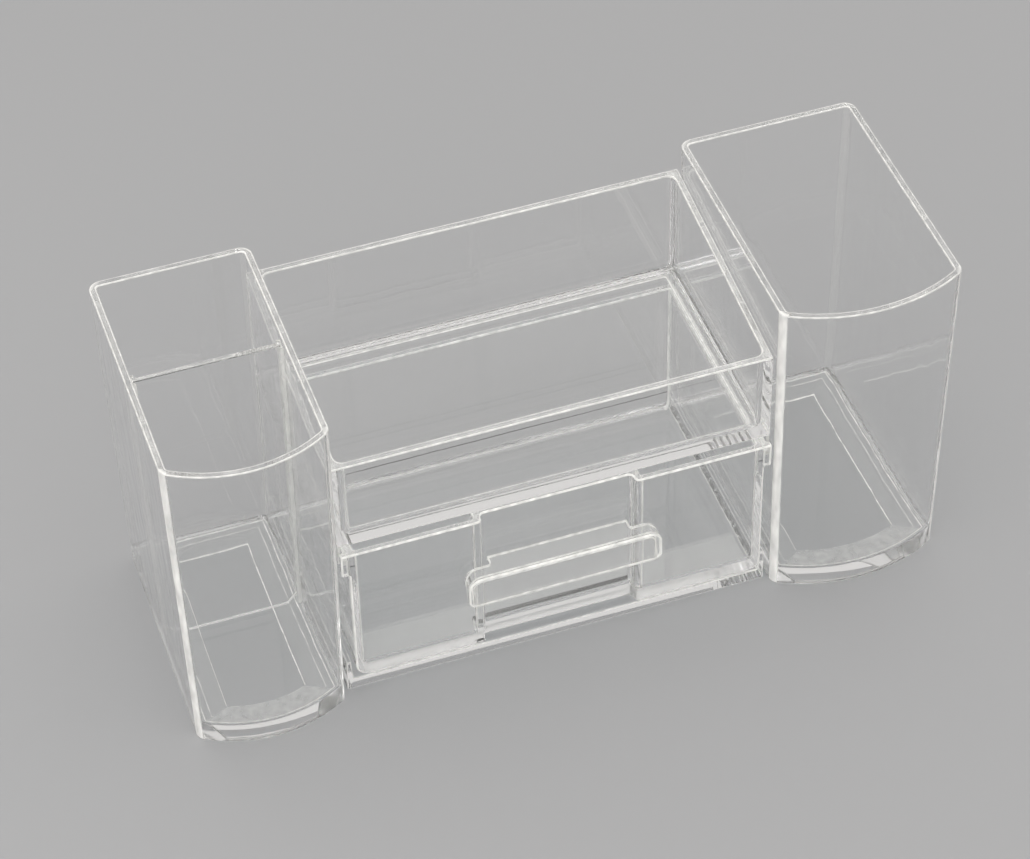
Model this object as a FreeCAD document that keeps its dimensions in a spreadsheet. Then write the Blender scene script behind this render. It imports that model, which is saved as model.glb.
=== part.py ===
import FreeCAD, Part
import os
import Sketcher

# Clear moulded organiser: two tall bow-fronted cups stand at the ends, an open tray with a raised
# back bridges them, and a drawer hangs under the tray on two runners.  Millimetres, +Z up, +X to
# the right, -Y to the front.  The origin is under the middle of the holder: half-way along its
# length and half-way between the front and back corners of the cups.

NEAR = 0.01        # two places closer than this count as one, in millimetres
CLEARLY = 5        # an edge runs along a direction if it covers this many times more of it
LEVEL_NORMAL = 0.1  # upward share of a face's normal below which the face stands upright
LEAST_CUT = 1.0    # a pocket that removes less than this has missed, in cubic millimetres

doc = FreeCAD.newDocument("brush_holder")
sheet = doc.addObject("Spreadsheet::Sheet", "Sizes")

SIZES = [
    # the whole holder
    ("overall_length", 275.0, "outside of one cup to outside of the other, at the rims"),
    ("joint_gap", 0.15, "cement line between two bonded mouldings"),
    ("wall", 2.5, "wall of every moulding"),
    ("edge_round", 0.5, "rounding of rims that a hand touches"),
    # cups
    ("cup_depth", 94.0, "depth of a cup at the rim, without the bow"),
    ("cup_height", 130.0, "floor of the room to the rim"),
    ("left_cup_width", 56.0, "width of the left cup at the rim"),
    ("right_cup_width", 65.0, "width of the right cup at the rim"),
    ("cup_bow", 9.0, "how far the front of a cup bows out"),
    ("cup_draft", 1.6, "inset of each side of a cup at its foot"),
    ("cup_floor", 5.0, "thickness of a cup's floor"),
    ("cup_corner", 4.0, "radius of a cup's upright corners"),
    ("cup_floor_round", 3.0, "hollow radius around a cup's floor"),
    ("least_round", 0.5, "smallest hollow radius of a cup's inner corners"),
    ("border_width", 10.0, "width of the raised border round a cup's floor"),
    ("border_rise", 1.2, "height of that border above the floor"),
    # divider of the left cup
    ("divider_wall", 2.2, "thickness of the divider"),
    ("divider_back", 46.0, "front corners of the cup to the middle of the divider"),
    ("divider_drop", 2.0, "rim of the cup to the top of the divider"),
    ("divider_fit", 0.2, "play of the divider in its grooves"),
    ("divider_corner", 4.5, "cut corners that clear the hollow round of the floor"),
    ("rib_wall", 1.2, "thickness of a groove's rib"),
    ("rib_reach", 1.4, "how far a rib stands out of the cup's side"),
    ("rib_root", 0.8, "how deep a rib is rooted in the cup's side"),
    # tray
    ("middle_front", 4.2, "set-back of the tray's front behind the cups' front corners"),
    ("tray_bottom", 71.0, "underside of the tray"),
    ("tray_floor", 3.0, "thickness of the tray's floor"),
    ("tray_front_height", 107.0, "top of the tray's front wall"),
    ("tray_back_height", 118.0, "top of the tray's back wall"),
    ("tray_corner", 3.0, "hollow radius of the tray's upright corners"),
    ("tray_floor_round", 3.5, "hollow radius around the tray's floor"),
    # base
    ("base_floor", 5.0, "thickness of the base plate"),
    ("kerb_width", 2.4, "width of the kerbs beside the drawer"),
    ("kerb_height", 14.0, "top of the kerbs"),
    ("kerb_round", 1.0, "rounding of the kerbs' tops"),
    # runners
    ("runner_web", 1.1, "thickness of a runner's upright web"),
    ("runner_lip", 2.6, "width of a runner's lip"),
    ("runner_lip_wall", 3.0, "thickness of a runner's lip"),
    # drawer
    ("drawer_side_gap", 0.25, "lip of a runner to the drawer's side wall"),
    ("drawer_front", 1.0, "drawer's front blocks behind the cups' front corners"),
    ("drawer_bottom", 9.0, "underside of the drawer"),
    ("drawer_top_gap", 1.7, "drawer's top to the tray's underside"),
    ("drawer_back_gap", 4.0, "drawer's back to the base's back wall"),
    ("drawer_floor", 3.5, "thickness of the drawer's floor"),
    ("drawer_step", 3.8, "set-back of the middle of the drawer's front"),
    ("recess_width", 54.5, "width of the set-back middle"),
    ("drawer_corner", 5.0, "rounding of the drawer's long lower edges"),
    ("drawer_step_round", 1.8, "rounding of the upright edges of the front"),
    ("drawer_floor_round", 3.0, "hollow radius along the drawer's floor"),
    ("hanger_wall", 2.6, "thickness of the hangers along the drawer's top"),
    ("hanger_play", 0.4, "clearance around a hanger in its runner"),
    ("ear_height", 9.6, "height of the ears that cover the runners' ends"),
    # pull
    ("pull_width", 69.5, "width of the pull"),
    ("pull_height", 13.3, "height of the pull"),
    ("pull_bottom", 35.0, "lower edge of the pull"),
    ("pull_reach", 6.5, "how far the pull stands out of the front blocks"),
    ("pull_wall", 2.0, "thickness of the pull's plate, shelf and cheeks"),
    ("pull_corner", 5.0, "radius of the pull's upper corners"),
    ("pull_foot_corner", 3.0, "radius of the pull's lower corners"),
]

for row, (alias, number, meaning) in enumerate(SIZES, 1):
    sheet.set(f"A{row}", meaning)
    sheet.set(f"B{row}", str(number))
    sheet.setAlias(f"B{row}", alias)
doc.recompute()


def size(alias):
    """Number that the sheet holds under this alias."""
    return float(getattr(sheet, alias))


def inset_at(height):
    """Inset of a cup's drafted side at this height, as an expression."""
    return f"Sizes.cup_draft * (1 - ({height}) / Sizes.cup_height)"


# Shared places, as expressions that the features bind to.
BORDER_TOP = "(Sizes.cup_floor + Sizes.border_rise)"
BAY_LEFT = f"(Sizes.left_cup_width - {inset_at('Sizes.tray_back_height')} + Sizes.joint_gap)"
BAY_RIGHT = ("(Sizes.overall_length - Sizes.right_cup_width"
             f" + {inset_at('Sizes.tray_back_height')} - Sizes.joint_gap)")
BAY_WIDTH = f"({BAY_RIGHT} - {BAY_LEFT})"
BAY_MIDDLE = f"(({BAY_RIGHT} + {BAY_LEFT}) / 2)"
MIDDLE_DEPTH = "(Sizes.cup_depth - Sizes.middle_front)"
SIDE_ROOM = "(Sizes.joint_gap + Sizes.runner_lip + Sizes.drawer_side_gap)"
DRAWER_HALF = f"({BAY_WIDTH} / 2 - {SIDE_ROOM})"
DRAWER_HEIGHT = "(Sizes.tray_bottom - Sizes.drawer_top_gap - Sizes.drawer_bottom)"
DRAWER_DEPTH = "(Sizes.cup_depth - Sizes.wall - Sizes.drawer_back_gap - Sizes.drawer_front)"
HANGER_REACH = f"({SIDE_ROOM} - Sizes.joint_gap - Sizes.runner_web - Sizes.hanger_play)"


def new_body(name, place_x, place_y, place_z):
    """Body with its own label, placed from the left cup's outer front corner at the foot."""
    body = doc.addObject("PartDesign::Body", name)
    body.Label = name
    body.setExpression("Placement.Base.x", f"{place_x} - Sizes.overall_length / 2")
    body.setExpression("Placement.Base.y", f"{place_y} - Sizes.cup_depth / 2")
    body.setExpression("Placement.Base.z", place_z)
    return body


def new_sketch(body, name, role, height="0"):
    """Empty sketch on one of the body's own origin planes, lifted along the plane's normal."""
    plane = next(p for p in body.Origin.OriginFeatures if p.Role == role)
    sketch = body.newObject("Sketcher::SketchObject", name)
    sketch.AttachmentSupport = [(plane, "")]
    sketch.MapMode = "FlatFace"
    sketch.setExpression("AttachmentOffset.Base.z", height)
    return sketch


def bind(sketch, constraint, expression):
    """Adds a dimension whose value is an expression of the sheet."""
    index = sketch.addConstraint(constraint)
    sketch.setExpression(f"Constraints[{index}]", expression)


def outline(body, name, role, corners, height="0"):
    """Closed outline of straight lines; each corner is a pair of expressions in the plane."""
    sketch = new_sketch(body, name, role, height)
    count = len(corners)
    spoke = FreeCAD.Vector(size("wall") * count, 0, 0)
    for n in range(count):
        start, end = (FreeCAD.Rotation(FreeCAD.Vector(0, 0, 1), 360.0 * turn / count).multVec(spoke)
                      for turn in (n, n + 1))
        sketch.addGeometry(Part.LineSegment(start, end))
    for n in range(count):
        sketch.addConstraint(Sketcher.Constraint("Coincident", n, 2, (n + 1) % count, 1))
    for n, (across, up) in enumerate(corners):
        bind(sketch, Sketcher.Constraint("DistanceX", -1, 1, n, 1, 1.0), across)
        bind(sketch, Sketcher.Constraint("DistanceY", -1, 1, n, 1, 1.0), up)
    doc.recompute()
    return sketch


def rectangle(left, right, low, high):
    """Corners of a rectangle, counter-clockwise."""
    return [(left, low), (right, low), (right, high), (left, high)]


def pad(body, name, sketch, length, reverse=False, middle=False):
    """Pad of a sketch by an expression."""
    feature = body.newObject("PartDesign::Pad", name)
    feature.Profile = sketch
    feature.setExpression("Length", length)
    feature.Reversed = reverse
    feature.Midplane = middle
    doc.recompute()
    return feature


def pocket(body, name, sketch, length=None, reverse=False):
    """Pocket of a sketch by an expression, or through everything; it must remove material."""
    before = body.Shape.Volume
    feature = body.newObject("PartDesign::Pocket", name)
    feature.Profile = sketch
    if length is None:
        feature.Type = 1
    else:
        feature.setExpression("Length", length)
    feature.Reversed = reverse
    doc.recompute()
    if feature.Shape.Volume > before - LEAST_CUT:
        raise RuntimeError(f"{name} removes nothing")
    return feature


def round_edges(body, name, radius, chosen):
    """Fillet of the edges of the body's last feature that the test chooses."""
    base = body.Tip
    names = [f"Edge{n}" for n, edge in enumerate(base.Shape.Edges, 1) if chosen(edge)]
    if not names:
        raise RuntimeError(f"{name} finds no edge")
    feature = body.newObject("PartDesign::Fillet", name)
    feature.Base = (base, names)
    feature.setExpression("Radius", radius)
    doc.recompute()
    return feature


def ends(edge):
    """First and last point of an edge."""
    return edge.valueAt(edge.FirstParameter), edge.valueAt(edge.LastParameter)


def is_upright(edge):
    """True for an edge that runs mostly along Z."""
    start, end = ends(edge)
    run = end - start
    return abs(run.z) > CLEARLY * max(abs(run.x), abs(run.y))


def is_along_y(edge):
    """True for an edge that runs along Y."""
    start, end = ends(edge)
    run = end - start
    return abs(run.y) > CLEARLY * max(abs(run.x), abs(run.z))


def at_height(edge, height):
    """True for an edge that lies level at this height of its body."""
    return all(abs(point.z - height) < NEAR for point in ends(edge))


# ---------------------------------------------------------------- cups

def cup_section(body, name, width, height, inset):
    """Level section of a cup: straight sides and back, bowed front, all moved in by the inset.

    Every section of a cup shares one arc centre, so the wall keeps its thickness round the bow.
    """
    half = f"({width} / 2)"
    radius = f"(({half} ^ 2 + Sizes.cup_bow ^ 2) / (2 * Sizes.cup_bow))"
    sketch = new_sketch(body, name, "XY_Plane", height)
    side, back, front = size("left_cup_width") / 2, size("cup_depth") / 2, -size("cup_depth") / 2
    bow = size("cup_bow")
    points = [FreeCAD.Vector(*xy, 0) for xy in ((-side, front), (-side, back), (side, back), (side, front))]
    for start, end in zip(points, points[1:]):
        sketch.addGeometry(Part.LineSegment(start, end))
    sketch.addGeometry(Part.Arc(points[0], FreeCAD.Vector(0, front - bow, 0), points[3]))
    for first, second in (((0, 2), (1, 1)), ((1, 2), (2, 1)), ((2, 2), (3, 2)), ((3, 1), (0, 1))):
        sketch.addConstraint(Sketcher.Constraint("Coincident", *first, *second))
    sketch.addConstraint(Sketcher.Constraint("Vertical", 0))
    sketch.addConstraint(Sketcher.Constraint("Vertical", 2))
    sketch.addConstraint(Sketcher.Constraint("Horizontal", 1))
    sketch.addConstraint(Sketcher.Constraint("PointOnObject", 3, 3, -2))
    bind(sketch, Sketcher.Constraint("DistanceX", 1, 1, -1, 1, side), f"{half} - ({inset})")
    bind(sketch, Sketcher.Constraint("DistanceX", -1, 1, 1, 2, side), f"{half} - ({inset})")
    bind(sketch, Sketcher.Constraint("DistanceY", -1, 1, 1, 2, back), f"Sizes.cup_depth / 2 - ({inset})")
    bind(sketch, Sketcher.Constraint("Radius", 3, side + bow), f"{radius} - ({inset})")
    bind(sketch, Sketcher.Constraint("DistanceY", -1, 1, 3, 3, bow),
         f"{radius} - Sizes.cup_bow - Sizes.cup_depth / 2")
    doc.recompute()
    return sketch


def faces_of(shape, chosen):
    """Names of the faces that the test chooses."""
    return [f"Face{n}" for n, face in enumerate(shape.Faces, 1) if chosen(face)]


def draft_sides(body, name, chosen, inward):
    """Leans the chosen upright faces so that they move in towards the foot; the rim stays."""
    base = body.Tip
    rim = size("cup_height")
    feature = body.newObject("PartDesign::Draft", name)
    feature.Base = (base, faces_of(base.Shape, chosen))
    rims = faces_of(base.Shape, lambda face: abs(face.CenterOfMass.z - rim) < NEAR)
    feature.NeutralPlane = (base, rims[:1])
    feature.setExpression("Angle", "atan(Sizes.cup_draft / Sizes.cup_height)")
    feature.Reversed = inward
    doc.recompute()
    return feature


def is_standing(face):
    """True for a face that stands upright, flat or curved."""
    u_low, u_high, v_low, v_high = face.ParameterRange
    return abs(face.normalAt((u_low + u_high) / 2, (v_low + v_high) / 2).z) < LEVEL_NORMAL


def make_cup(name, width_alias, place_x):
    """Tall cup with drafted walls; its own origin is the middle of the rim's rectangle, at the foot."""
    body = new_body(name, place_x, "Sizes.cup_depth / 2", "0")
    width = f"Sizes.{width_alias}"
    wall, floor, rim = size("wall"), size("cup_floor"), size("cup_height")
    border = floor + size("border_rise")
    outer_limit = size(width_alias) / 2 - wall / 2
    outside = cup_section(body, f"{name}_outside", width, "Sizes.cup_height", "0")
    pad(body, f"{name}_block", outside, "Sizes.cup_height", reverse=True)
    draft_sides(body, f"{name}_outer_draft", is_standing, True)
    inside = cup_section(body, f"{name}_inside", width, "Sizes.cup_height", "Sizes.wall")
    pocket(body, f"{name}_hollow", inside, f"Sizes.cup_height - {BORDER_TOP}")
    draft_sides(body, f"{name}_inner_draft",
                lambda face: is_standing(face) and face.BoundBox.ZMin > floor / 2, False)

    def is_outer(edge):
        return max(ends(edge), key=lambda point: point.z).x ** 2 > outer_limit ** 2

    round_edges(body, f"{name}_corners", "Sizes.cup_corner", lambda e: is_upright(e) and is_outer(e))
    round_edges(body, f"{name}_inner_corners", "max(Sizes.cup_corner - Sizes.wall; Sizes.least_round)",
                lambda e: is_upright(e) and e.BoundBox.ZMin > floor / 2)
    round_edges(body, f"{name}_floor_round", "Sizes.cup_floor_round", lambda e: at_height(e, border))
    round_edges(body, f"{name}_rim_round", "Sizes.edge_round", lambda e: at_height(e, rim))
    sunk = cup_section(body, f"{name}_sunk_floor", width, BORDER_TOP,
                       f"Sizes.wall + Sizes.border_width + {inset_at(BORDER_TOP)}")
    pocket(body, f"{name}_floor_inside_border", sunk, "Sizes.border_rise")
    return body


def rib_corners(sign, width):
    """Outline of a rib that leans with the cup's side, rooted in the side and in the floor."""
    low = "Sizes.cup_floor - Sizes.rib_root"
    top = "Sizes.cup_height - Sizes.divider_drop"
    root, tip = "Sizes.rib_root", "-Sizes.rib_reach"
    places = ((low, root), (low, tip), (top, tip), (top, root))
    return [(f"{sign} * ({width} / 2 - Sizes.wall - {inset_at(height)} + ({reach}))", height)
            for height, reach in places]


def add_groove_ribs(body, name, width):
    """Two pairs of upright ribs inside a cup, which leave a groove for the divider at each side."""
    middle = "(Sizes.divider_back - Sizes.cup_depth / 2)"
    shift = "(Sizes.divider_wall / 2 + Sizes.divider_fit + Sizes.rib_wall / 2)"
    for side, sign in (("left", "-1"), ("right", "1")):
        for place, step in (("front", "-1"), ("back", "1")):
            rib = f"{name}_{side}_{place}_rib"
            plane = f"-({middle} + {step} * {shift})"
            sketch = outline(body, f"{rib}_outline", "XZ_Plane", rib_corners(sign, width), plane)
            pad(body, rib, sketch, "Sizes.rib_wall", middle=True)


left_cup = make_cup("left_cup", "left_cup_width", "Sizes.left_cup_width / 2")
add_groove_ribs(left_cup, "left_cup", "Sizes.left_cup_width")
make_cup("right_cup", "right_cup_width", "Sizes.overall_length - Sizes.right_cup_width / 2")


# ---------------------------------------------------------------- divider

def make_divider():
    """Flat panel that follows the drafted sides of the left cup and stands on its floor's border."""
    body = new_body("left_cup_divider", "Sizes.left_cup_width / 2", "Sizes.divider_back", "0")

    def half(height):
        inside = f"Sizes.left_cup_width / 2 - Sizes.wall - {inset_at(height)}"
        return f"({inside} - Sizes.divider_fit)"

    low = f"{BORDER_TOP} + Sizes.joint_gap"
    shoulder = f"({low} + Sizes.divider_corner)"
    top = "Sizes.cup_height - Sizes.divider_drop"
    corners = [
        (f"-({half(low)} - Sizes.divider_corner)", low),
        (f"{half(low)} - Sizes.divider_corner", low),
        (half(shoulder), shoulder),
        (half(top), top),
        (f"-{half(top)}", top),
        (f"-{half(shoulder)}", shoulder),
    ]
    sketch = outline(body, "divider_outline", "XZ_Plane", corners)
    pad(body, "divider_panel", sketch, "Sizes.divider_wall", middle=True)
    tall = size("cup_height") - size("divider_drop")
    round_edges(body, "divider_top_round", "Sizes.edge_round",
                lambda edge: at_height(edge, tall) and edge.Length > 2 * size("divider_wall"))


make_divider()


# ---------------------------------------------------------------- tray

def make_tray():
    """Open tray between the cups; its rim rises from the front wall to the back wall."""
    body = new_body("top_tray", BAY_LEFT, "Sizes.middle_front", "Sizes.tray_bottom")
    tall = "(Sizes.tray_back_height - Sizes.tray_bottom)"
    low = "(Sizes.tray_front_height - Sizes.tray_bottom)"
    block = outline(body, "tray_outline", "XY_Plane", rectangle("0", BAY_WIDTH, "0", MIDDLE_DEPTH))
    pad(body, "tray_block", block, tall)
    inner_right = f"{BAY_WIDTH} - Sizes.wall"
    inner_back = f"{MIDDLE_DEPTH} - Sizes.wall"
    inside = rectangle("Sizes.wall", inner_right, "Sizes.wall", inner_back)
    hollow = outline(body, "tray_inside", "XY_Plane", inside, tall)
    pocket(body, "tray_hollow", hollow, f"{tall} - Sizes.tray_floor")
    wall, floor = size("wall"), size("tray_floor")

    def is_inside(edge):
        middle = edge.CenterOfMass
        box = body.Tip.Shape.BoundBox
        return box.XMin + wall / 2 < middle.x < box.XMax - wall / 2 \
            and box.YMin + wall / 2 < middle.y < box.YMax - wall / 2

    round_edges(body, "tray_inner_corners", "Sizes.tray_corner", lambda e: is_upright(e) and is_inside(e))
    round_edges(body, "tray_floor_rounding", "Sizes.tray_floor_round",
                lambda edge: at_height(edge, floor) and is_inside(edge))
    above = f"{tall} + Sizes.wall"
    slope = [("-Sizes.wall", low), (MIDDLE_DEPTH, tall), (MIDDLE_DEPTH, above), ("-Sizes.wall", above)]
    cut = outline(body, "tray_slope", "YZ_Plane", slope)
    pocket(body, "tray_sloping_rim", cut, reverse=True)
    rim_low = size("tray_front_height") - size("tray_bottom") - wall

    def is_rim(edge):
        return all(point.z > rim_low for point in ends(edge)) and not is_upright(edge)

    round_edges(body, "tray_rim_round", "Sizes.edge_round", is_rim)


make_tray()


# ---------------------------------------------------------------- base

def make_base():
    """Plate under the drawer with a back wall that carries the tray and a kerb at each side."""
    body = new_body("base_shell", BAY_LEFT, "Sizes.middle_front", "0")
    plate = outline(body, "base_outline", "XY_Plane", rectangle("0", BAY_WIDTH, "0", MIDDLE_DEPTH))
    pad(body, "base_plate", plate, "Sizes.base_floor")
    back = rectangle("0", BAY_WIDTH, f"{MIDDLE_DEPTH} - Sizes.wall", MIDDLE_DEPTH)
    wall = outline(body, "base_back_outline", "XY_Plane", back)
    pad(body, "base_back", wall, "Sizes.tray_bottom - Sizes.joint_gap")
    for side, left, right in (
            ("left", "0", "Sizes.kerb_width"),
            ("right", f"{BAY_WIDTH} - Sizes.kerb_width", BAY_WIDTH)):
        kerb = outline(body, f"{side}_kerb_outline", "XY_Plane", rectangle(left, right, "0", MIDDLE_DEPTH))
        pad(body, f"{side}_kerb", kerb, "Sizes.kerb_height")
    top = size("kerb_height")
    round_edges(body, "kerb_tops", "Sizes.kerb_round", lambda e: at_height(e, top) and is_along_y(e))


make_base()


# ---------------------------------------------------------------- runners

def make_runner(name, sign, place_x):
    """L-shaped strip bonded under the tray; the drawer's hanger rides on its lip."""
    lip_top = "Sizes.tray_bottom - Sizes.drawer_top_gap - Sizes.hanger_wall - Sizes.hanger_play"
    body = new_body(name, place_x, "Sizes.middle_front", f"{lip_top} - Sizes.runner_lip_wall")
    tall = f"(Sizes.tray_bottom - Sizes.joint_gap - ({lip_top} - Sizes.runner_lip_wall))"
    corners = [
        ("0", "0"),
        (f"{sign} * Sizes.runner_lip", "0"),
        (f"{sign} * Sizes.runner_lip", "Sizes.runner_lip_wall"),
        (f"{sign} * Sizes.runner_web", "Sizes.runner_lip_wall"),
        (f"{sign} * Sizes.runner_web", tall),
        ("0", tall),
    ]
    section = outline(body, f"{name}_section", "XZ_Plane", corners)
    pad(body, f"{name}_strip", section, f"{MIDDLE_DEPTH} - Sizes.wall - Sizes.joint_gap", reverse=True)


make_runner("left_runner", "1", f"{BAY_LEFT} + Sizes.joint_gap")
make_runner("right_runner", "-1", f"{BAY_RIGHT} - Sizes.joint_gap")


# ---------------------------------------------------------------- drawer

def stepped_plan(inset):
    """Plan of the drawer, whose front steps back in the middle, moved in by the inset."""
    side = f"({DRAWER_HALF} - ({inset}))"
    step_side = f"(Sizes.recess_width / 2 + ({inset}))"
    front = f"({inset})"
    middle = f"(Sizes.drawer_step + ({inset}))"
    back = f"({DRAWER_DEPTH} - ({inset}))"
    return [
        (f"-{side}", front), (f"-{step_side}", front), (f"-{step_side}", middle), (step_side, middle),
        (step_side, front), (side, front), (side, back), (f"-{side}", back),
    ]


def is_long_floor_edge(edge):
    """True for the edges around the drawer's floor, apart from the two short ones of the step."""
    return edge.Length > 2 * size("drawer_step")


def make_drawer():
    """Open box with hangers along its top edges; its own origin is the middle of its front, below."""
    body = new_body("drawer_tub", BAY_MIDDLE, "Sizes.drawer_front", "Sizes.drawer_bottom")
    plan = outline(body, "drawer_plan", "XY_Plane", stepped_plan("0"))
    pad(body, "drawer_block", plan, DRAWER_HEIGHT)
    step = size("drawer_step")
    half = body.Tip.Shape.BoundBox.XMax
    round_edges(body, "drawer_front_edges", "Sizes.drawer_step_round",
                lambda e: is_upright(e) and e.CenterOfMass.y < step + NEAR
                and abs(e.CenterOfMass.x) < half - NEAR)
    round_edges(body, "drawer_lower_edges", "Sizes.drawer_corner",
                lambda e: is_along_y(e) and at_height(e, 0.0)
                and abs(abs(e.CenterOfMass.x) - half) < NEAR)
    inside = outline(body, "drawer_inside", "XY_Plane", stepped_plan("Sizes.wall"), DRAWER_HEIGHT)
    pocket(body, "drawer_hollow", inside, f"{DRAWER_HEIGHT} - Sizes.drawer_floor")
    floor = size("drawer_floor")
    round_edges(body, "drawer_floor_rounding", "Sizes.drawer_floor_round",
                lambda e: at_height(e, floor) and is_long_floor_edge(e))
    for side, sign in (("left", "-1"), ("right", "1")):
        root = f"{sign} * ({DRAWER_HALF} - Sizes.wall / 2)"
        reach = f"{sign} * ({DRAWER_HALF} + {HANGER_REACH})"
        hanger = outline(body, f"{side}_hanger_outline", "XY_Plane",
                         rectangle(root, reach, "Sizes.wall / 2", DRAWER_DEPTH), DRAWER_HEIGHT)
        pad(body, f"{side}_hanger", hanger, "Sizes.hanger_wall", reverse=True)
        edge_x = f"{sign} * ({DRAWER_HALF} + {SIDE_ROOM} - Sizes.hanger_play)"
        ear = outline(body, f"{side}_ear_outline", "XY_Plane",
                      rectangle(root, edge_x, "0", "Sizes.wall"), DRAWER_HEIGHT)
        pad(body, f"{side}_ear", ear, "Sizes.ear_height", reverse=True)


make_drawer()


# ---------------------------------------------------------------- pull

def make_pull():
    """Finger pull: a hood open below and behind, whose cheeks taper down to the foot of its plate."""
    body = new_body("drawer_pull", BAY_MIDDLE, "Sizes.drawer_front", "Sizes.pull_bottom")
    half = "(Sizes.pull_width / 2)"
    top = size("pull_height")
    shelf_low = "(Sizes.pull_height - Sizes.pull_wall)"
    plate_back = "(Sizes.pull_reach - Sizes.pull_wall)"
    hood = outline(body, "pull_outline", "XZ_Plane",
                   rectangle(f"-{half}", half, "0", "Sizes.pull_height"), "Sizes.pull_reach")
    pad(body, "pull_hood", hood, "Sizes.pull_reach - Sizes.joint_gap", reverse=True)
    round_edges(body, "pull_shelf_ends", "Sizes.pull_corner", lambda e: is_along_y(e) and at_height(e, top))
    round_edges(body, "pull_plate_foot", "Sizes.pull_foot_corner",
                lambda e: is_along_y(e) and at_height(e, 0.0))
    inner_half = f"({half} - Sizes.pull_wall)"
    room = outline(body, "pull_room_outline", "XZ_Plane",
                   rectangle(f"-{inner_half}", inner_half, "-Sizes.pull_wall", shelf_low), plate_back)
    pocket(body, "pull_room", room)
    shelf_under = size("pull_height") - size("pull_wall")
    round_edges(body, "pull_room_corners", "Sizes.pull_corner - Sizes.pull_wall",
                lambda e: is_along_y(e) and at_height(e, shelf_under))
    taper = [(f"-{plate_back}", "0"), (f"-{plate_back}", "-Sizes.pull_wall"), ("0", "-Sizes.pull_wall"),
             ("0", shelf_low)]
    cheeks = outline(body, "pull_cheek_outline", "YZ_Plane", taper, f"{half} + Sizes.pull_wall")
    pocket(body, "pull_cheek_taper", cheeks)
    tongue_half = "(Sizes.recess_width / 2 - Sizes.drawer_step_round - Sizes.joint_gap)"
    tongue = outline(body, "pull_tongue_outline", "XY_Plane",
                     rectangle(f"-{tongue_half}", tongue_half, "-Sizes.pull_wall",
                               "Sizes.drawer_step - Sizes.joint_gap"), shelf_low)
    pad(body, "pull_tongue", tongue, "Sizes.pull_wall")


make_pull()


# ---------------------------------------------------------------- check and write

def check_document():
    """Stops on any failed object, and on a sub-part that is not one valid solid."""
    doc.recompute()
    for item in doc.Objects:
        if "Invalid" in item.State or "Error" in item.State:
            raise RuntimeError(f"{item.Name} failed: {item.State}")
    for body in doc.Objects:
        if body.TypeId == "PartDesign::Body":
            shape = body.Shape
            if shape.isNull() or not shape.isValid() or len(shape.Solids) != 1:
                raise RuntimeError(f"{body.Label} is not one valid solid")


check_document()
os.makedirs("parts", exist_ok=True)
for body in doc.Objects:
    if body.TypeId == "PartDesign::Body":
        body.Shape.exportStep(os.path.join("parts", f"{body.Label}.step"))
        box = body.Shape.BoundBox
        print(f"{body.Label}: {body.Shape.Volume:.0f} mm3, "
              f"x {box.XMin:.1f}..{box.XMax:.1f}, y {box.YMin:.1f}..{box.YMax:.1f}, "
              f"z {box.ZMin:.1f}..{box.ZMax:.1f}")
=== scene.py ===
# %% [markdown]
# # A clear brush holder with a drawer
# Two tall bow-fronted cups stand at the ends of this organiser, an open tray bridges them and a
# drawer slides out under the tray.  All of it is moulded in clear plastic, so its looks come from
# light that bends in thin walls and gathers in their rounded rims.
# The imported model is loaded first: it says where every moulding is, in metres, and which ones move.

# %% Load the frame
import math

import bmesh
import bpy
import numpy as np
from mathutils import Matrix, Vector


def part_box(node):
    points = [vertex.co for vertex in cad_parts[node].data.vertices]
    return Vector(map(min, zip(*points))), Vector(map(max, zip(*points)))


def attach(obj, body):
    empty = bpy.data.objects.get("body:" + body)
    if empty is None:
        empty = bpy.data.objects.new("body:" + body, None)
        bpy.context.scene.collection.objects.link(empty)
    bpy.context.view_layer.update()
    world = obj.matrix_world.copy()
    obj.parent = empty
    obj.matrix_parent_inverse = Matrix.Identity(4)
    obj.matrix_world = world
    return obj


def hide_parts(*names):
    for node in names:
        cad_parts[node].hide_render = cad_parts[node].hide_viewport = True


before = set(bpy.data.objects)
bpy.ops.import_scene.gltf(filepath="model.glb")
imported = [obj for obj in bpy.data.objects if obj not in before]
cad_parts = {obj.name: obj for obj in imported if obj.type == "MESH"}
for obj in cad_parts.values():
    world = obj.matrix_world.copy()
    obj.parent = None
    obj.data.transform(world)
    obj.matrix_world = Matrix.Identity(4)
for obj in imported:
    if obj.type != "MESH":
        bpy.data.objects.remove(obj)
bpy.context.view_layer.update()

MM = 1000.0

scene = bpy.context.scene
for name in sorted(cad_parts):
    low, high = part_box(name)
    print(name, [round(MM * value, 1) for value in (*low, *high)], "mm")

# %% [markdown]
# ## The camera
# The camera looks down on the holder from the front left, far away and with a long lens, so the
# uprights stay almost parallel.  Its place and its turn are a point and three angles.  A render is
# 1030 pixels wide and so is the sensor, which turns a focal length in pixels into a lens in
# millimetres: lens = focal length * sensor width / frame width.

# %% Camera
FRAME_WIDTH = 1030
SENSOR = 36.0
EYE = (-0.2625, -0.7923, 0.8896)
YAW, PITCH, ROLL = (math.radians(angle) for angle in (18.03, 44.87, -1.47))
FOCAL_PIXELS = 3404.0
NEAREST, FARTHEST = 0.05, 20.0


def camera_axes(yaw, pitch, roll):
    """Right, up and back directions of a camera turned right by yaw, pitched down and rolled.

    Ahead is (sin yaw * cos pitch, cos yaw * cos pitch, -sin pitch), right is level and up is
    right x ahead; the roll then turns right and up about ahead.
    """
    ahead = np.array([math.sin(yaw) * math.cos(pitch), math.cos(yaw) * math.cos(pitch),
                      -math.sin(pitch)])
    right = np.array([math.cos(yaw), -math.sin(yaw), 0.0])
    up = np.cross(right, ahead)
    turned_right = right * math.cos(roll) + up * math.sin(roll)
    turned_up = -right * math.sin(roll) + up * math.cos(roll)
    return turned_right, turned_up, -ahead


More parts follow.
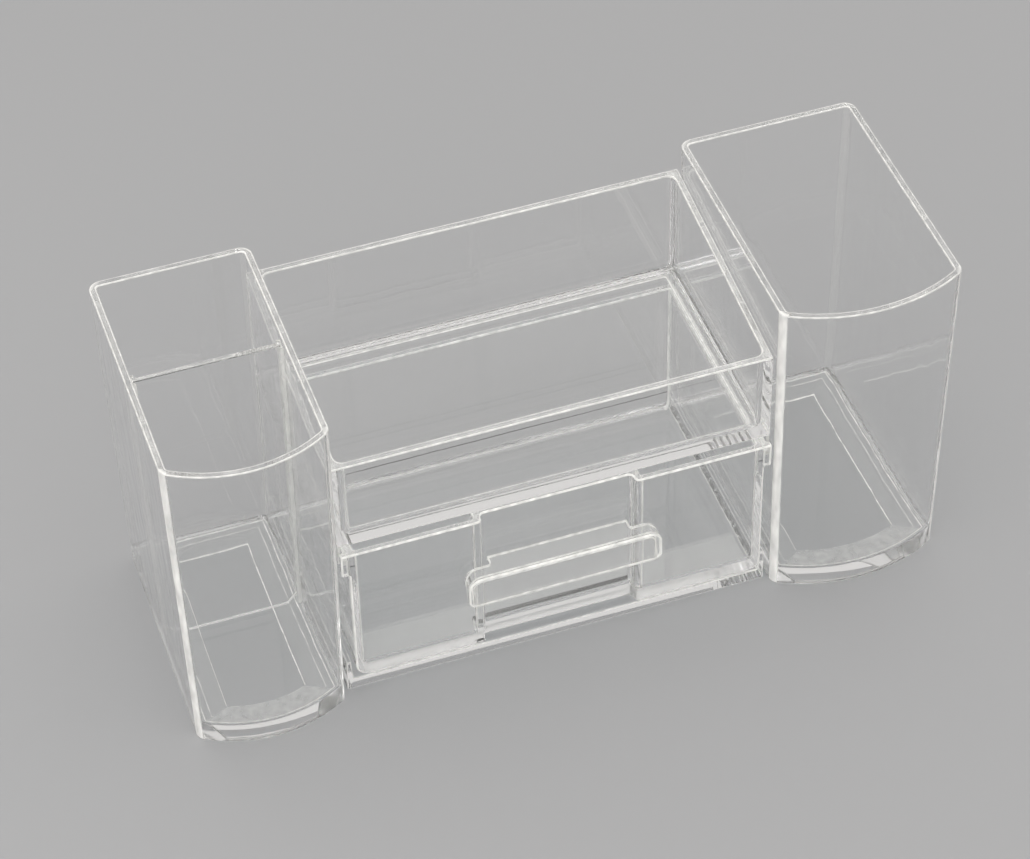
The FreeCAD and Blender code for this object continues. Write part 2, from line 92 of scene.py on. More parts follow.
camera = bpy.data.objects.new("camera", bpy.data.cameras.new("camera"))
scene.collection.objects.link(camera)
camera.data.sensor_fit = "HORIZONTAL"
camera.data.sensor_width = SENSOR
camera.data.lens = FOCAL_PIXELS * SENSOR / FRAME_WIDTH
camera.data.clip_start = NEAREST
camera.data.clip_end = FARTHEST
axes = np.array(camera_axes(YAW, PITCH, ROLL)).T
camera.matrix_world = Matrix.Translation(EYE) @ Matrix(axes.tolist()).to_4x4()
scene.camera = camera
print("lens", round(camera.data.lens, 1), "mm")

# %% [markdown]
# ## Node wires
# A finish is a small sum over a surface: noise and masks, weighed and added.  One class wraps a
# socket so that such a sum is written as Python arithmetic, and one method makes every other kind
# of node.

# %% Wires and finishes


class Wire:
    """An output socket that adds, subtracts and multiplies by laying down Math nodes."""

    def __init__(self, socket):
        self.socket = socket

    def _math(self, operation, first, second):
        tree = self.socket.id_data
        node = tree.nodes.new("ShaderNodeMath")
        node.operation = operation
        for slot, value in zip(node.inputs, (first, second)):
            plug(tree, slot, value)
        return Wire(node.outputs[0])

    def __add__(self, other):
        return self._math("ADD", self, other)

    def __radd__(self, other):
        return self._math("ADD", other, self)

    def __sub__(self, other):
        return self._math("SUBTRACT", self, other)

    def __rsub__(self, other):
        return self._math("SUBTRACT", other, self)

    def __mul__(self, other):
        return self._math("MULTIPLY", self, other)

    def __rmul__(self, other):
        return self._math("MULTIPLY", other, self)

    def __gt__(self, other):
        return self._math("GREATER_THAN", self, other)

    def __lt__(self, other):
        return self._math("LESS_THAN", self, other)


def plug(tree, slot, value):
    """Links a wire into an input, or sets the input to a plain value."""
    if isinstance(value, Wire):
        tree.links.new(value.socket, slot)
    else:
        slot.default_value = value


class Finish:
    """A material whose nodes are made by one method."""

    def __init__(self, name):
        self.material = bpy.data.materials.new(name)
        self.material.use_nodes = True
        self.tree = self.material.node_tree
        self.tree.nodes.clear()

    def node(self, kind, settings=(), inputs=(), output=0):
        """Makes a node of a kind, its settings first and then its inputs; returns one output."""
        made = self.tree.nodes.new("ShaderNode" + kind)
        for key, value in dict(settings).items():
            setattr(made, key, value)
        for key, value in dict(inputs).items():
            plug(self.tree, made.inputs[key], value)
        return Wire(made.outputs[output]) if made.outputs else None


# %% [markdown]
# ## Clear moulded plastic
# Polystyrene bends light a good deal more than water does and passes nearly all of it, and a
# moulding is never quite flat: the melt leaves long shallow waves in every wall.  They are noise
# stretched upwards, the way the melt ran, and are fed to Bump.  The tops of the rims and the
# roundings of the edges get painted highlights, and some floors painted bands of light: pale
# amounts of a chalky shader, standing in for the bright lines and bands that light makes in
# clear plastic.  Dust sits here and there, as more of the same shader mixed into the clear one.
# Lamps shine through the plastic instead of being stopped by it, because a Light Path switch
# shows shadow rays a nearly clear surface.

# %% Clear plastic
STYRENE_IOR = 1.57
CLEAR, SHADOW_TINT = (1.0, 1.0, 1.0, 1.0), (0.98, 0.985, 0.985, 1.0)
# Chalk: a pale shader, used for dust and for painted highlights and painted bands of light.
HIGHLIGHT_AND_DUST_CHALK, HIGHLIGHT_AND_DUST_ROUGHNESS = (0.92, 0.91, 0.88, 1.0), 0.45
# Noises, with their cells to the metre; the first two are stretched along z by FLOW.
WAVES = {"Scale": 55.0, "Detail": 2.0, "Roughness": 0.45}
BLOTCHES = {"Scale": 330.0, "Detail": 1.0, "Roughness": 0.4}
HAZE = {"Scale": 90.0, "Detail": 5.0, "Roughness": 0.6}
FLOW = (1.0, 1.0, 0.35)
# The waves' depth in metres, and the share of it that a level face lacks.
WAVE_DEPTH, FLATS_CALMER = 0.0006, 0.93
# Roughness of polished plastic, and what the haze adds to it.
POLISH, HAZE_ROUGHNESS = 0.003, 0.015
# Least cosine from the normal to straight up, or to the front, of what faces that way.
FACES_UP, FACES_FRONT = 0.93, 0.9
# A speck of dust lies in each cell where the haze is thick; its radius is a share of the cell.
SPECKS, SPECK_RADIUS, DUSTY, DUST_PALE = {"Scale": 130.0}, 0.022, 0.55, 0.5
# Each pair is the least amount and what a noise adds to it.
BLOTCH_LEAST, BLOTCH_ADDS = 0.35, 1.3
# The rim's pair gives the painted highlight on the tops of the rims.
RIM_HIGHLIGHT_LEAST, RIM_HIGHLIGHT_ADDS = 0.06, 0.32
FROST_LEAST = 0.5
# Patches in the painted rim highlight are the haze with its contrast raised.
PATCH_CONTRAST, PATCH_DROP = 2.4, 0.7


def clear_plastic(name, waviness, rim_from, seed, pale=0.0, front_frost=0.0, floor_band=None):
    """Clear plastic whose waves scale with waviness; the seed shifts its noise.

    Height of the waves: (noise - 0.5) * (1 - FLATS_CALMER * nz^2), with nz the normal's z.  What
    faces up above rim_from is a rim, and gets a painted highlight.  The amount of chalk is the
    point attribute "pale", which holds painted highlights and painted bands of light, plus the
    piece's own pale, times the blotches, plus the rim's painted highlight and the dust.  Added to
    it are front_frost on whatever faces the front and a painted band of light, given as (farthest
    y, highest z, amount), on whatever faces up there.
    """
    finish = Finish(name)
    place = finish.node("TexCoord", output="Object")
    facing = finish.node("TexCoord", output="Normal")
    flow = finish.node("Mapping", inputs={"Vector": place, "Location": (seed, 2.0 * seed, -seed),
                                          "Scale": FLOW})
    waves = finish.node("TexNoise", inputs={"Vector": flow, **WAVES})
    upward = finish.node("SeparateXYZ", inputs={"Vector": facing}, output="Z")
    calm = 1.0 - FLATS_CALMER * upward * upward
    normal = finish.node("Bump", inputs={"Strength": waviness, "Distance": WAVE_DEPTH,
                                         "Height": (waves - 0.5) * calm})
    haze = finish.node("TexNoise", inputs={"Vector": place, **HAZE})
    blotch = finish.node("TexNoise", inputs={"Vector": flow, **BLOTCHES})
    clear = finish.node("BsdfPrincipled", inputs={
        "Base Color": CLEAR, "Roughness": POLISH + HAZE_ROUGHNESS * haze, "IOR": STYRENE_IOR,
        "Transmission Weight": 1.0, "Normal": normal})
    highlight_and_dust = finish.node("BsdfPrincipled", inputs={"Base Color": HIGHLIGHT_AND_DUST_CHALK,
                                                  "Roughness": HIGHLIGHT_AND_DUST_ROUGHNESS})

    height = finish.node("SeparateXYZ", inputs={"Vector": place}, output="Z")
    # What faces up above rim_from gets a painted highlight.
    rim = (upward > FACES_UP) * (height > rim_from)
    # The attribute holds painted highlights and painted bands of light.
    painted_light = finish.node("Attribute", {"attribute_name": "pale"}, output="Fac")
    distance = finish.node("TexVoronoi", inputs={"Vector": place, **SPECKS}, output="Distance")
    dust = (distance < SPECK_RADIUS) * (haze > DUSTY)
    rim_highlight_patches = PATCH_CONTRAST * haze - PATCH_DROP
    amount = ((painted_light + pale) * (BLOTCH_LEAST + BLOTCH_ADDS * blotch)
              + rim * (RIM_HIGHLIGHT_LEAST + RIM_HIGHLIGHT_ADDS * rim_highlight_patches) + DUST_PALE * dust)
    if front_frost:
        toward = finish.node("SeparateXYZ", inputs={"Vector": facing}, output="Y")
        amount = amount + front_frost * (toward < -FACES_FRONT) * (FROST_LEAST + blotch)
    # A painted band of light on what faces up near the front.
    if floor_band:
        depth = finish.node("SeparateXYZ", inputs={"Vector": place}, output="Y")
        farthest, highest, strength = floor_band
        amount = amount + (strength * (depth < farthest) * (height < highest)
                           * (upward > FACES_UP))
    body = finish.node("MixShader", inputs={0: amount, 1: clear, 2: highlight_and_dust})

    passed = finish.node("BsdfTransparent", inputs={"Color": SHADOW_TINT})
    shadow = finish.node("LightPath", output="Is Shadow Ray")
    surface = finish.node("MixShader", inputs={0: shadow, 1: body, 2: passed})
    finish.node("OutputMaterial", inputs={"Surface": surface})
    return finish.material


# %% [markdown]
# ## Mouldings as carried profiles
# Each cup, and the tray, is one wall that runs round a closed outline: up the outside, over a
# rounded rim, down the inside and through a hollow round onto the floor.  So a moulding is a
# profile carried along an outline.  A row of the profile says how far in from the outline the
# surface is, how high, and how round the corners are there; every row becomes one ring of points,
# and neighbouring rings are joined by quads.  Rounding every edge matters more in clear plastic
# than in anything else, because the roundings are what shows.

# %% Profiles and rings
WALL, EDGE = 0.0025, 0.0004
ROUND_STEPS = 7
# Painted highlights on the roundings and on the hollow round's lower end, and the width in which
# their paleness fades.
EDGE_HIGHLIGHT, HOLLOW_HIGHLIGHT, CLEAR_STEP = 0.6, 1.0, 0.0004


def quarter(steps):
    """Sine and 1 - cosine of angles from 0 to 90 degrees: both legs of a rounding of radius one."""
    angle = np.linspace(0.0, math.pi / 2, steps)
    return np.sin(angle), 1.0 - np.cos(angle)


def wall_profile(height, floor, hollow, corner, inner_corner):
    """Rows of inset, height, corner radius and paleness, from the underside to the inner floor.

    Foot and rim: roundings of radius EDGE, with a flat rim between two of them.  Floor: a hollow
    round that goes in by hollow * (1 - cos) while it goes down by hollow * sin.  The roundings
    are pale with a painted highlight, which fades out where they meet a wall, and the hollow
    round's lower end has one too.  The underside and the flat rim are clear, and have rows of
    their own because paleness fades over the whole face between two rows.
    """
    sine, rest = quarter(ROUND_STEPS)
    same = np.ones(ROUND_STEPS)
    fading, growing = EDGE_HIGHLIGHT * (sine < 1.0), EDGE_HIGHLIGHT * (sine > 0.0)
    underside = np.array(((EDGE + CLEAR_STEP, 0.0, corner, 0.0),))
    foot = np.column_stack((EDGE * (1 - sine), EDGE * rest, corner * same, fading))
    outer_rim = np.column_stack((EDGE * rest, height - EDGE * (1 - sine), corner * same, growing))
    flat_rim = np.array(((EDGE + CLEAR_STEP / 2, height, corner, 0.0),
                         (WALL - EDGE - CLEAR_STEP / 2, height, inner_corner, 0.0)))
    inner_rim = np.column_stack((WALL - EDGE * (1 - sine), height - EDGE * rest,
                                 inner_corner * same, fading))
    hollow_round = np.column_stack((WALL + hollow * rest, floor + hollow * (1 - sine),
                                    np.maximum(inner_corner - hollow * rest, inner_corner / 3),
                                    HOLLOW_HIGHLIGHT * (sine == 1.0)))
    return np.vstack((underside, foot, outer_rim, flat_rim, inner_rim, hollow_round))


def ring_faces(rings, points):
    """Quads between neighbouring rings of a closed outline, and one flat cap on each end ring."""
    index = np.arange(rings * points).reshape(rings, points)
    along = np.roll(index, -1, axis=1)
    quads = np.stack((index[:-1], along[:-1], along[1:], index[1:]), axis=-1).reshape(-1, 4)
    return quads.tolist() + [index[0, ::-1].tolist(), index[-1].tolist()]


# %% [markdown]
# ## A piece from its surfaces
# Every piece ends in the same way: it gets its finishes and normals that keep flat faces flat, it
# rides on the body that carries it, and it takes the place of the nodes it stands for.  A new
# piece is first put together from closed surfaces, with its paleness as a value on each point.

# %% A piece from its surfaces
SHARP = math.radians(50)
FLATS_FIRST = 100


def settle(piece, materials, *nodes):
    """Finishes, flat-keeping normals, body and the nodes that the piece stands for."""
    for material in materials:
        piece.data.materials.append(material)
    weighted = piece.modifiers.new("flats_stay_flat", "WEIGHTED_NORMAL")
    weighted.keep_sharp = True
    weighted.weight = FLATS_FIRST
    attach(piece, "drawer" if nodes[0].startswith("drawer") else "carcass")
    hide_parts(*nodes)
    print(piece.name, len(piece.data.polygons), "faces")


def add_piece(name, surfaces, material, *nodes):
    """One mesh from closed surfaces, each an array of rings of points and the points' paleness."""
    points, faces, start = [], [], 0
    for rings, _ in surfaces:
        points.append(rings.reshape(-1, 3))
        faces += [[start + corner for corner in face] for face in ring_faces(*rings.shape[:2])]
        start += len(points[-1])
    mesh = bpy.data.meshes.new(name)
    mesh.from_pydata(np.vstack(points).tolist(), [], faces)
    mesh.shade_smooth()
    mesh.set_sharp_from_angle(angle=SHARP)
    pale = np.concatenate([np.broadcast_to(amount, rings.shape[:2]).ravel()
                           for rings, amount in surfaces])
    mesh.attributes.new("pale", "FLOAT", "POINT").data.foreach_set("value",
                                                                   pale.astype(np.float32))
    piece = bpy.data.objects.new(name, mesh)
    scene.collection.objects.link(piece)
    settle(piece, (material,), *nodes)


# %% [markdown]
# ## Cups
# A cup is a tall box with a bowed front, a little narrower at its foot so that it leaves the mould.
# Its outline has two flat sides, a flat back and one arc for the front, joined by four corner arcs.
# Moving such an outline in keeps every arc's centre, so only the radii change with the inset.

# %% Cups
CUP_DEPTH, CUP_HEIGHT, CUP_BOW, CUP_DRAFT = 0.094, 0.130, 0.00898, 0.0016
CUP_FLOOR, CUP_CORNER, CUP_HOLLOW = 0.005, 0.004, 0.0018
# The border round a cup's floor slopes down by its rise and ends in the step, whose rounding
# passes through these shares of the step inwards and of the step's height left.
BORDER, BORDER_RISE, BORDER_STEP = 0.010, 0.0009, 0.0006
STEP_ROUNDING = ((0.25, 0.8), (0.5, 0.1))
# Painted light on the border: a pale band, paler along the front, standing in for light that the
# walls throw onto the floor near them; and a painted highlight on the step.
BORDER_LIGHT_BAND, FRONT_LIGHT_BAND, STEP_HIGHLIGHT = 0.08, 0.3, 1.0
# A painted highlight line runs along the border.  It is a finish only.
BORDER_LINE, LINE_WIDTH, LINE_HIGHLIGHT = 0.0042, 0.0003, 0.8
# Painted highlights on the outer upright corners, each as bright as light makes that corner: front
# right, back right, back left and front left.
CORNER_HIGHLIGHT = (0.45, 0.15, 0.25, 0.75)
CORNER_POINTS, BOW_POINTS = 9, 41


def cup_profile():
    """The wall's profile, then a border that slopes down round the floor and ends in a small step.

    On the border the height falls by BORDER_RISE in proportion to the inset.  A fifth column is
    the paleness along the front, where the border is one painted band of light; elsewhere that
    band is fainter and has a painted highlight line along it.  The step has a painted highlight.
    """
    profile = wall_profile(CUP_HEIGHT, CUP_FLOOR + BORDER_STEP + BORDER_RISE, CUP_HOLLOW,
                           CUP_CORNER, CUP_CORNER - WALL)
    profile = np.column_stack((profile, profile[:, 3]))
    corner = profile[-1, 2]

    def on_border(inset, pale):
        slope = BORDER_RISE * (BORDER - inset) / (BORDER - CUP_HOLLOW)
        return inset, CUP_FLOOR + BORDER_STEP + slope, corner, pale, FRONT_LIGHT_BAND

    border = [on_border(CUP_HOLLOW + CLEAR_STEP, BORDER_LIGHT_BAND),
              on_border(BORDER_LINE - LINE_WIDTH, BORDER_LIGHT_BAND), on_border(BORDER_LINE, LINE_HIGHLIGHT),
              on_border(BORDER_LINE + LINE_WIDTH, BORDER_LIGHT_BAND), on_border(BORDER, BORDER_LIGHT_BAND)]
    step = [(BORDER + BORDER_STEP * inward, CUP_FLOOR + BORDER_STEP * left, corner, STEP_HIGHLIGHT,
             STEP_HIGHLIGHT) for inward, left in STEP_ROUNDING]
    floor = [(BORDER + BORDER_STEP, CUP_FLOOR, corner, 0.0, 0.0)]
    return np.vstack((profile, np.array(border + step + floor) + (WALL, 0.0, 0.0, 0.0, 0.0)))


CUP_PROFILE = cup_profile()
print("cup profile:", len(CUP_PROFILE), "rows, floor opening starts",
      round(MM * CUP_PROFILE[-1, 0], 2), "mm in")


def arc(x, y, radius, start, stop, steps):
    """For each ring, points (x, y) + radius * (cos a, sin a), a going evenly from start to stop."""
    angle = start[:, None] + (stop - start)[:, None] * np.linspace(0.0, 1.0, steps)
    return np.stack((x[:, None] + radius[:, None] * np.cos(angle),
                     y[:, None] + radius[:, None] * np.sin(angle)), axis=-1)


def with_height(outline, height):
    """Outline points with their ring's height as the third coordinate."""
    level = np.broadcast_to(height[:, None, None], (*outline.shape[:2], 1))
    return np.concatenate((outline, level), axis=-1)


def cup_rings(node):
    """Rings of a cup that fills the node's box, moved in by the row's inset and the draft.

    The front arc runs through the front corners, so its radius is (half^2 + bow^2) / (2 * bow).  A
    front corner's circle touches a side and the front arc from inside, which puts its centre at
    bow radius - inset - corner radius from the arc's centre.  Paleness, made of painted
    highlights and painted bands of light, comes from the profile, with its last column along the
    front, and from the outer corners where that is more.
    """
    low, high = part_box(node)
    half = (high[0] - low[0]) / 2
    inset = CUP_PROFILE[:, 0] + CUP_DRAFT * (1.0 - CUP_PROFILE[:, 1] / CUP_HEIGHT)
    corner = CUP_PROFILE[:, 2]
    bow_radius = (half * half + CUP_BOW * CUP_BOW) / (2.0 * CUP_BOW)
    bow_y = bow_radius - CUP_BOW - CUP_DEPTH / 2
    side = half - inset - corner
    back = CUP_DEPTH / 2 - inset - corner
    front = bow_y - np.sqrt((bow_radius - inset - corner) ** 2 - side ** 2)
    lean = np.arctan2(front - bow_y, side)
    zero = np.zeros_like(inset)
    right, up, left = zero, zero + math.pi / 2, zero + math.pi
    bow = arc(zero, zero + bow_y, bow_radius - inset, -left - lean, lean, BOW_POINTS)[:, 1:-1]
    outline = np.concatenate((
        arc(side, front, corner, lean, right, CORNER_POINTS),
        arc(side, back, corner, right, up, CORNER_POINTS),
        arc(-side, back, corner, up, left, CORNER_POINTS),
        arc(-side, front, corner, left, left - lean, CORNER_POINTS), bow), axis=1)
    middle = np.array(((low[0] + high[0]) / 2, high[1] - CUP_DEPTH / 2))

    off_bow, on_bow = np.zeros(BOW_POINTS - 2), np.ones(BOW_POINTS - 2)
    one_corner = np.concatenate(((0.0,), np.ones(CORNER_POINTS - 2), (0.0,)))
    # Painted highlights on the four outer upright corners, none along the bow.
    corner_highlights = np.concatenate([pale * one_corner for pale in CORNER_HIGHLIGHT] + [off_bow])
    outer = (CUP_PROFILE[:, 0] < WALL / 2) & (CUP_PROFILE[:, 1] > 0.0)
    in_front = np.concatenate((np.zeros(len(CORNER_HIGHLIGHT) * CORNER_POINTS), on_bow))
    pale = CUP_PROFILE[:, 3, None] * (1.0 - in_front) + CUP_PROFILE[:, 4, None] * in_front
    pale = np.maximum(pale, outer[:, None] * corner_highlights)
    return with_height(outline + middle, CUP_PROFILE[:, 1]), pale


# %% [markdown]
# ## Straight-sided outlines
# The tray and the ribs inside the left cup have outlines of straight sides.  One function gives the
# ring of any such outline with its corners rounded, moved in by any amount, and another stacks
# such rings into a solid slab.

# %% Rounded outlines
OUTLINE_STEPS, SLAB_STEPS = 6, 5
LEAST_RADIUS = 1e-5


def rounded_ring(corners, inset, radius):
    """Closed outline of straight sides, counter-clockwise, moved in, with an arc for each corner.

    All corners turn left.  A corner moves by inset * (n1 + n2) / (1 + n1 . n2), where n1 and n2
    are the inward normals of the sides that meet there, and its arc's centre lies that way too,
    one radius further in.
    """
    corners = np.asarray(corners, float)
    along = np.roll(corners, -1, axis=0) - corners
    along /= np.linalg.norm(along, axis=1)[:, None]
    inward = np.column_stack((-along[:, 1], along[:, 0]))
    before = np.roll(inward, 1, axis=0)
    bisector = (inward + before) / (1.0 + np.sum(inward * before, axis=1))[:, None]
    crossed = before[:, 0] * inward[:, 1] - before[:, 1] * inward[:, 0]
    turn = np.arcsin(np.clip(crossed, -1.0, 1.0))
    bend = max(radius, LEAST_RADIUS)
    centre = corners + bisector * (inset + bend)
    start = np.arctan2(before[:, 1], before[:, 0])
    angle = start[:, None] + turn[:, None] * np.linspace(0.0, 1.0, OUTLINE_STEPS)
    spoke = -bend * np.stack((np.cos(angle), np.sin(angle)), axis=-1)
    return (centre[:, None] + spoke).reshape(-1, 2)


def block_rings(corners, low, high, edge, radius):
    """Rings of a solid slab between two levels, with its upper and lower edges rounded by edge.

    Lower edge: in by edge * (1 - sin) at a height of edge * (1 - cos); upper edge: in by
    edge * (1 - cos) at edge * (1 - sin) below the top.
    """
    sine, rest = quarter(SLAB_STEPS)
    inset = np.concatenate((edge * (1 - sine), edge * rest))
    level = np.concatenate((low + edge * rest, high - edge * (1 - sine)))
    outline = np.stack([rounded_ring(corners, step, max(radius - step, radius / 4))
                        for step in inset])
    return with_height(outline, level)


def box_corners(x_low, x_high, y_low, y_high):
    """Corners of a rectangle, counter-clockwise."""
    return ((x_low, y_low), (x_high, y_low), (x_high, y_high), (x_low, y_high))


# %% [markdown]
# ## Both cups
# The divider of the left cup stands in two grooves.  Each groove is the room between a pair of thin
# upright ribs on a side wall, so the left cup is its own surface and four slabs, and the right cup
# is one surface.  Both share one plastic, as mouldings from one batch do.

# %% Cup pieces
RIB_WALL, RIB_REACH, RIB_AWAY, RIB_GAP = 0.0012, 0.0014, 0.0019, 0.00003
DIVIDER_DROP = 0.002
CUP_WAVINESS, CUP_SEED = 0.2, 1.0


def rib_rings(node, side, middle_y):
    """An upright rib inside one side of a cup: a slab whose points lean outwards with the draft.

    The lean is x += draft * z / height.  A rib on the left is the right one mirrored, with its
    rings turned round so that its faces still point outwards.
    """
    low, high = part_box(node)
    foot = CUP_FLOOR + CUP_HOLLOW
    root = (high[0] - low[0]) / 2 - WALL - CUP_DRAFT - RIB_GAP
    rings = block_rings(box_corners(root - RIB_REACH, root, -RIB_WALL / 2, RIB_WALL / 2),
                        foot, CUP_HEIGHT - DIVIDER_DROP, RIB_WALL / 4, RIB_WALL / 4)
    rings[..., 0] += CUP_DRAFT * rings[..., 2] / CUP_HEIGHT
    if side < 0:
        rings = (rings * (-1, 1, 1))[:, ::-1]
    # The rib's points carry half the painted edge highlight.
    return rings + ((low[0] + high[0]) / 2, middle_y, 0.0), EDGE_HIGHLIGHT / 2


cup_plastic = clear_plastic("clear cup plastic", CUP_WAVINESS, CUP_HEIGHT - EDGE, CUP_SEED)
divider_low, divider_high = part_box("left_cup_divider")
divider_y = (divider_low[1] + divider_high[1]) / 2
ribs = [rib_rings("left_cup", side, divider_y + step * RIB_AWAY)
        for side in (-1, 1) for step in (-1, 1)]
add_piece("left_brush_cup", [cup_rings("left_cup"), *ribs], cup_plastic, "left_cup")
add_piece("right_brush_cup", [cup_rings("right_cup")], cup_plastic, "right_cup")

# %% [markdown]
# ## Tray
# The tray is the same kind of moulding with straight sides.  Its rim climbs from the front wall to
# the back wall, so the rim's rows are lowered in proportion to their distance from the back.

# %% Tray
TRAY_FLOOR, TRAY_HOLLOW, TRAY_CORNER = 0.003, 0.0035, 0.003
TRAY_FRONT_HEIGHT, TRAY_BACK_HEIGHT = 0.107, 0.118
TRAY_WAVINESS, TRAY_SEED = 0.16, 4.0


def tray_rings(node):
    """Rings of the tray; a rim point at y stands lower by rise * (back - y) / (depth + wall).

    The last row repeats the floor's outline a little further in and clear, so that the flat
    floor inside it isn't pale.
    """
    low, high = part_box(node)
    height = TRAY_BACK_HEIGHT - low[2]
    profile = wall_profile(height, TRAY_FLOOR, TRAY_HOLLOW, EDGE, TRAY_CORNER)
    clear_row = profile[-1] * (1.0, 1.0, 1.0, 0.0) + (CLEAR_STEP, 0.0, 0.0, 0.0)
    profile = np.vstack((profile, clear_row))
    corners = box_corners(low[0], high[0], low[1], high[1])
    outline = np.stack([rounded_ring(corners, inset, radius) for inset, _, radius, _ in profile])
    rings = with_height(outline, profile[:, 1])
    rim = profile[:, 1] > height - 2 * EDGE
    rise = (TRAY_BACK_HEIGHT - TRAY_FRONT_HEIGHT) / (high[1] - low[1] + WALL)
    rings[rim, :, 2] -= rise * (high[1] - rings[rim, :, 1])
    return rings + (0.0, 0.0, low[2]), profile[:, 3, None]


tray_plastic = clear_plastic("clear tray plastic", TRAY_WAVINESS, TRAY_FRONT_HEIGHT - EDGE,
                             TRAY_SEED)
add_piece("open_tray", [tray_rings("top_tray")], tray_plastic, "top_tray")

# %% [markdown]
# ## Pieces with bevelled edges
# The drawer, its pull, the base, the runners and the divider are flat-sided, so a copy of the
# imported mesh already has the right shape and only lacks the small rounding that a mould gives
# every edge.  The copy's loose triangles are merged and its flat faces joined, and a bevel rounds
# the edges that are left.

# %% Bevelled copies
BEVEL_ABOVE = math.radians(35)
FLAT_WITHIN = math.radians(0.6)
BEVEL_SEGMENTS = 3
DOUBLES_WITHIN = 1e-6


def bevelled_copy(name, width, node, plastic, edge_highlight_plastic, crumbs=0.0):
    """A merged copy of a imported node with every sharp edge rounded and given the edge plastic.

    Edges shorter than crumbs go first, because a bevel wider than an edge throws points far out;
    any point that still leaves the node's box is clipped to it, coordinate by coordinate.
    """
    build = bmesh.new()
    build.from_mesh(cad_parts[node].data)
    bmesh.ops.remove_doubles(build, verts=build.verts, dist=DOUBLES_WITHIN)
    bmesh.ops.dissolve_degenerate(build, dist=max(crumbs, DOUBLES_WITHIN), edges=build.edges)
    bmesh.ops.dissolve_limit(build, angle_limit=FLAT_WITHIN, verts=build.verts, edges=build.edges)
    sharp = [edge for edge in build.edges
             if len(edge.link_faces) == 2 and edge.calc_face_angle() > BEVEL_ABOVE]
    bmesh.ops.bevel(build, geom=sharp, offset=width, offset_type="OFFSET",
                    segments=BEVEL_SEGMENTS, profile=0.5, affect="EDGES", clamp_overlap=False,
                    material=1, miter_outer="ARC")
    mesh = bpy.data.meshes.new(name)
    build.to_mesh(mesh)
    build.free()
    points = np.empty(3 * len(mesh.vertices), np.float32)
    mesh.vertices.foreach_get("co", points)
    low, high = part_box(node)
    points = np.clip(points.reshape(-1, 3), low, high)
    mesh.vertices.foreach_set("co", points.astype(np.float32).ravel())
    mesh.update()
    mesh.shade_smooth()
    mesh.set_sharp_from_angle(angle=SHARP)
    piece = bpy.data.objects.new(name, mesh)
    scene.collection.objects.link(piece)
    # The edge plastic's paleness is a painted highlight on the rounded edges.
    settle(piece, (plastic, edge_highlight_plastic), node)


# %% [markdown]
# ## Divider, base, runners, drawer and pull
# Each of these gets one plastic for its faces and the same, paler, for its edges, where the
# paleness is a painted highlight.  The runners are frosted where they were cut, at their front
# ends, and the drawer's floor has a painted pale band of light behind its front.

# %% Divider, base, runners, drawer and pull
# Painted light behind the drawer's front: how far back the pale band reaches, how high, and its
# paleness.
FLOOR_LIGHT_BAND = (-0.028, 0.014, 0.15)
CUT_END_FROST, PULL_PALE = 0.55, 0.08
DIVIDER_BEVEL, BASE_BEVEL, RUNNER_BEVEL = 0.0004, 0.0004, 0.0003
DRAWER_BEVEL, PULL_BEVEL = 0.0006, 0.0006
BASE_CRUMBS, DRAWER_CRUMBS = 0.00016, 0.00008


def two_finishes(moulding, waviness, seed, edge_highlight, rim_from=CUP_HEIGHT, **faces):
    """Clear plastic for a moulding's faces, and the same, paler, for its rounded edges.

    The paler edges carry a painted highlight.  Nothing gets the painted rim highlight unless
    rim_from says where rims start.
    """
    return (clear_plastic(f"clear {moulding} plastic", waviness, rim_from, seed, **faces),
            clear_plastic(f"{moulding} edges", waviness, CUP_HEIGHT, seed, pale=edge_highlight))


divider_top, drawer_top = CUP_HEIGHT - DIVIDER_DROP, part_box("drawer_tub")[1][2]
divider_finish = two_finishes("divider", waviness=0.2, seed=7.0, edge_highlight=0.7,
                              rim_from=divider_top - EDGE)
base_finish = two_finishes("base", waviness=0.06, seed=9.0, edge_highlight=0.6)
runner_finish = two_finishes("runner", waviness=0.06, seed=10.0, edge_highlight=0.5,
                             front_frost=CUT_END_FROST)
drawer_finish = two_finishes("drawer", waviness=0.09, seed=12.0, edge_highlight=0.75,
                             rim_from=drawer_top - EDGE, floor_band=FLOOR_LIGHT_BAND)
pull_finish = two_finishes("pull", waviness=0.1, seed=15.0, edge_highlight=0.8, pale=PULL_PALE)
bevelled_copy("cup_divider", DIVIDER_BEVEL, "left_cup_divider", *divider_finish)
bevelled_copy("base_tray", BASE_BEVEL, "base_shell", *base_finish, crumbs=BASE_CRUMBS)
bevelled_copy("left_runner_strip", RUNNER_BEVEL, "left_runner", *runner_finish)
bevelled_copy("right_runner_strip", RUNNER_BEVEL, "right_runner", *runner_finish)
bevelled_copy("drawer_box", DRAWER_BEVEL, "drawer_tub", *drawer_finish, crumbs=DRAWER_CRUMBS)
bevelled_copy("drawer_finger_pull", PULL_BEVEL, "drawer_pull", *pull_finish)

# %% [markdown]
# ## Floor and light
# A plain pale floor, a pale sky all round and four large soft lamps: above, low in front and at
# the sides.  The sky is a little brighter than the floor, so the rims that bend it into view read
# as white lines.  The low lamps light the pale edges but aren't mirrored, because every flat wall
# would show them as a white patch from one side or another.

# %% Floor and light
FLOOR_SIZE, FLOOR_LEVEL = 6.0, -0.0002
FLOOR_GREY, FLOOR_ROUGHNESS, FLOOR_SHINE = (0.40, 0.40, 0.405, 1.0), 0.9, 0.1
SKY, SKY_STRENGTH = (1.0, 0.985, 0.965, 1.0), 0.7
AIM = Vector((0, 0, 0.05))
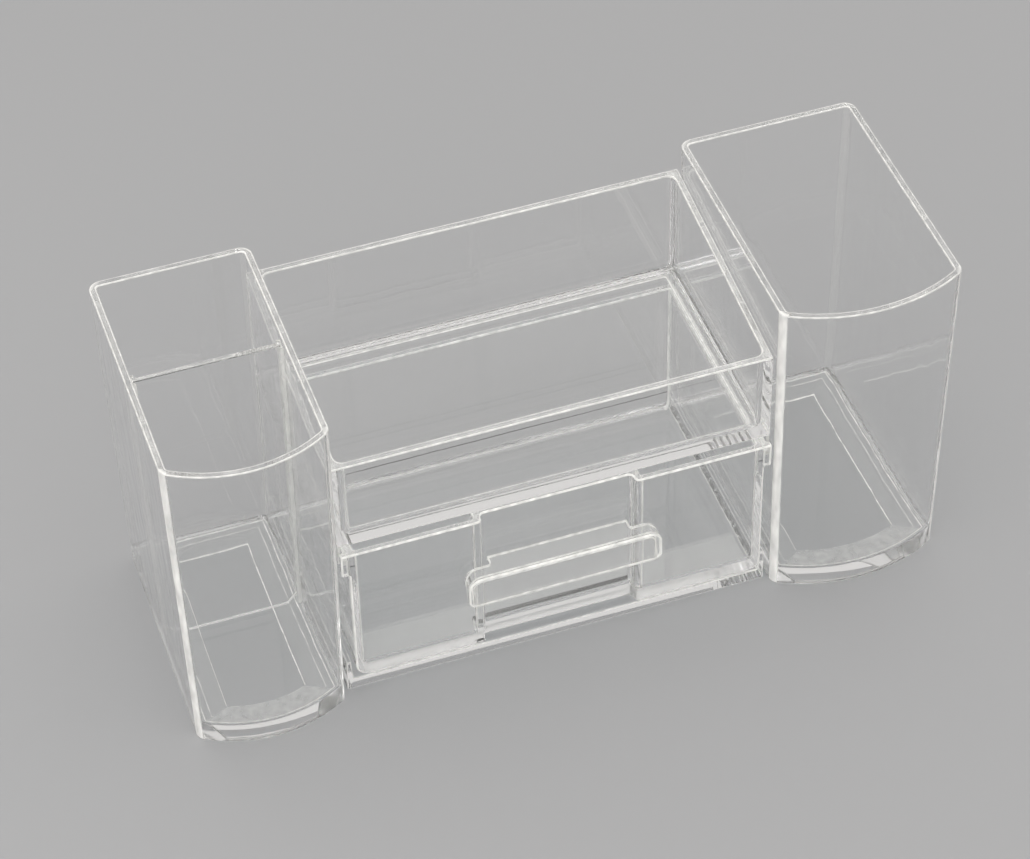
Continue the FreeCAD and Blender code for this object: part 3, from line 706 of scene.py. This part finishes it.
# Name, place, width, height, watts and whether flat faces mirror it.
LAMPS = (("top_soft_box", (-0.5, 0.15, 1.35), 0.9, 0.6, 5.0, True),
         ("front_soft_box", (0.0, -1.4, 0.42), 0.9, 0.4, 7.0, False),
         ("left_soft_box", (-1.3, -0.3, 0.5), 0.8, 0.9, 4.5, False),
         ("right_soft_box", (1.3, 0.2, 0.5), 0.8, 0.9, 4.5, False))
# A ray that is trapped in a clear wall and ended early would leave it black.
LIGHT_BOUNCES = 64

bpy.ops.mesh.primitive_plane_add(size=FLOOR_SIZE)
floor = bpy.context.object
floor.name = "floor"
floor.location.z = FLOOR_LEVEL
floor_finish = Finish("pale floor")
floor_body = floor_finish.node("BsdfPrincipled", inputs={
    "Base Color": FLOOR_GREY, "Roughness": FLOOR_ROUGHNESS, "Specular IOR Level": FLOOR_SHINE})
floor_finish.node("OutputMaterial", inputs={"Surface": floor_body})
floor.data.materials.append(floor_finish.material)

world = bpy.data.worlds.new("sky")
scene.world = world
world.use_nodes = True
background = world.node_tree.nodes["Background"]
background.inputs["Color"].default_value = SKY
background.inputs["Strength"].default_value = SKY_STRENGTH


def soft_box(name, place, wide, tall, watts, mirrored):
    """A rectangular lamp turned to face the middle of the holder."""
    lamp = bpy.data.objects.new(name, bpy.data.lights.new(name, "AREA"))
    scene.collection.objects.link(lamp)
    lamp.data.shape = "RECTANGLE"
    lamp.data.size = wide
    lamp.data.size_y = tall
    lamp.data.energy = watts
    lamp.location = place
    lamp.visible_glossy = mirrored
    lamp.visible_transmission = mirrored
    lamp.rotation_euler = (AIM - lamp.location).to_track_quat("-Z", "Y").to_euler()
    print(name, round((AIM - lamp.location).length, 2), "m away")


for lamp_settings in LAMPS:
    soft_box(*lamp_settings)

scene.view_settings.view_transform = "Standard"
scene.cycles.max_bounces = LIGHT_BOUNCES
scene.cycles.transmission_bounces = LIGHT_BOUNCES
scene.cycles.glossy_bounces = LIGHT_BOUNCES
scene.cycles.transparent_max_bounces = LIGHT_BOUNCES
